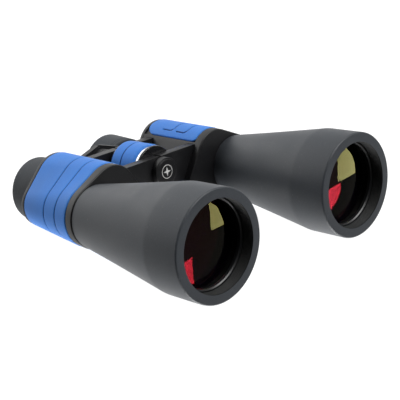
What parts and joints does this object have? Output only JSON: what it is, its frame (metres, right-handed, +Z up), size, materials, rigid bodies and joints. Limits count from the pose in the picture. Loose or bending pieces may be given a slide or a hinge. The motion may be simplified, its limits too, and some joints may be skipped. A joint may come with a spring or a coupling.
{
  "type": "astronomy binoculars",
  "caption": "Porro-prism binoculars with large flared objective barrels, folding centre hinge, focus wheel, sliding ocular bridge and dioptre adjustment.",
  "frame": {"origin": "on the resting surface, midway along the length and midway between the barrels", "axes": "+Z up, -Y the way the objectives look, +Y towards the eyepieces, +X the user's left"},
  "size_m": [0.2082, 0.2256, 0.0733],
  "materials": {
    "grey_rubber": "satin dark grey rubber coating",
    "blue_rubber": "matte blue rubber",
    "black_plastic": "fine-grained black moulding",
    "coated_glass": "coated objective glass",
    "clear_glass": "polished optical glass",
    "steel": "turned steel",
    "brass": "turned brass",
    "chrome": "bright chrome"
  },
  "bodies": {
    "left_half": {"armour_l": "blue_rubber", "cover_screw_lower_l": "steel", "cover_screw_outer_l": "steel", "cover_screw_top_l": "steel", "crown_lens_l": "coated_glass", "flint_lens_l": "coated_glass", "front_prism_clip_l": "steel", "front_prism_l": "clear_glass", "front_washer": "steel", "hinge_cap": "black_plastic", "hinge_collar": "black_plastic", "hinge_nut": "steel", "hinge_tube": "steel", "lens_retaining_ring_l": "black_plastic", "objective_barrel_l": "grey_rubber", "prism_housing_l": "black_plastic", "prism_shelf_l": "black_plastic", "rear_cover_l": "black_plastic", "rear_prism_clip_l": "steel", "rear_prism_l": "clear_glass", "rear_sleeve": "black_plastic", "rear_washer": "steel", "retaining_clip": "steel", "tripod_socket": "brass"},
    "right_half": {"armour_r": "blue_rubber", "cover_screw_lower_r": "steel", "cover_screw_outer_r": "steel", "cover_screw_top_r": "steel", "crown_lens_r": "coated_glass", "flint_lens_r": "coated_glass", "front_prism_clip_r": "steel", "front_prism_r": "clear_glass", "lens_retaining_ring_r": "black_plastic", "objective_barrel_r": "grey_rubber", "prism_housing_r": "black_plastic", "prism_shelf_r": "black_plastic", "rear_cover_r": "black_plastic", "rear_prism_clip_r": "steel", "rear_prism_r": "clear_glass"},
    "focus_wheel": {"focus_wheel": "blue_rubber", "wheel_ring": "chrome"},
    "left_ocular": {"bridge_post": "steel", "bridge_sleeve": "black_plastic", "focus_key_pin": "steel", "bridge_end_screw": "steel", "ocular_arm_l": "black_plastic", "eyepiece_tube_l": "black_plastic", "field_lens_l": "clear_glass", "eye_lens_l": "clear_glass", "eye_lens_ring_l": "black_plastic", "eyecup_l": "grey_rubber", "eyepiece_collar_l": "black_plastic"},
    "right_ocular": {"ocular_arm_r": "black_plastic"},
    "dioptre": {"dioptre_ring": "black_plastic"},
    "right_eyepiece": {"eyepiece_tube_r": "black_plastic", "field_lens_r": "clear_glass", "eye_lens_r": "clear_glass", "eye_lens_ring_r": "black_plastic", "eyecup_r": "grey_rubber"}
  },
  "joints": [
    {"name": "fold", "type": "hinge", "parent": "left_half", "child": "right_half", "pos_m": [0, 0.03225, 0.04952], "axis": [0, -1, 0], "range_deg": [-7, 32]},
    {"name": "focus_turn", "type": "hinge", "parent": "left_half", "child": "focus_wheel", "pos_m": [0, 0.03225, 0.04952], "axis": [0, 1, 0], "range_deg": [-140, 240]},
    {"name": "left_ocular_slide", "type": "slide", "parent": "left_half", "child": "left_ocular", "axis": [0, 1, 0], "range_m": [-0.0033, 0.0056]},
    {"name": "right_ocular_slide", "type": "slide", "parent": "right_half", "child": "right_ocular", "axis": [0, 1, 0], "range_m": [-0.0034, 0.0058]},
    {"name": "dioptre_turn", "type": "hinge", "parent": "right_ocular", "child": "dioptre", "pos_m": [-0.0353, 0.08325, 0.03095], "axis": [0, 1, 0], "range_deg": [-60, 60]},
    {"name": "right_eyepiece_slide", "type": "slide", "parent": "right_ocular", "child": "right_eyepiece", "axis": [0, 1, 0], "range_m": [-0.0015, 0.0015]}
  ],
  "couplings": [
    {"joint": "focus_turn", "follows": "left_ocular_slide", "rad_per_m": 739.2},
    {"joint": "right_ocular_slide", "follows": "left_ocular_slide", "ratio": 1},
    {"joint": "dioptre_turn", "follows": "right_eyepiece_slide", "rad_per_m": 698}
  ]
}
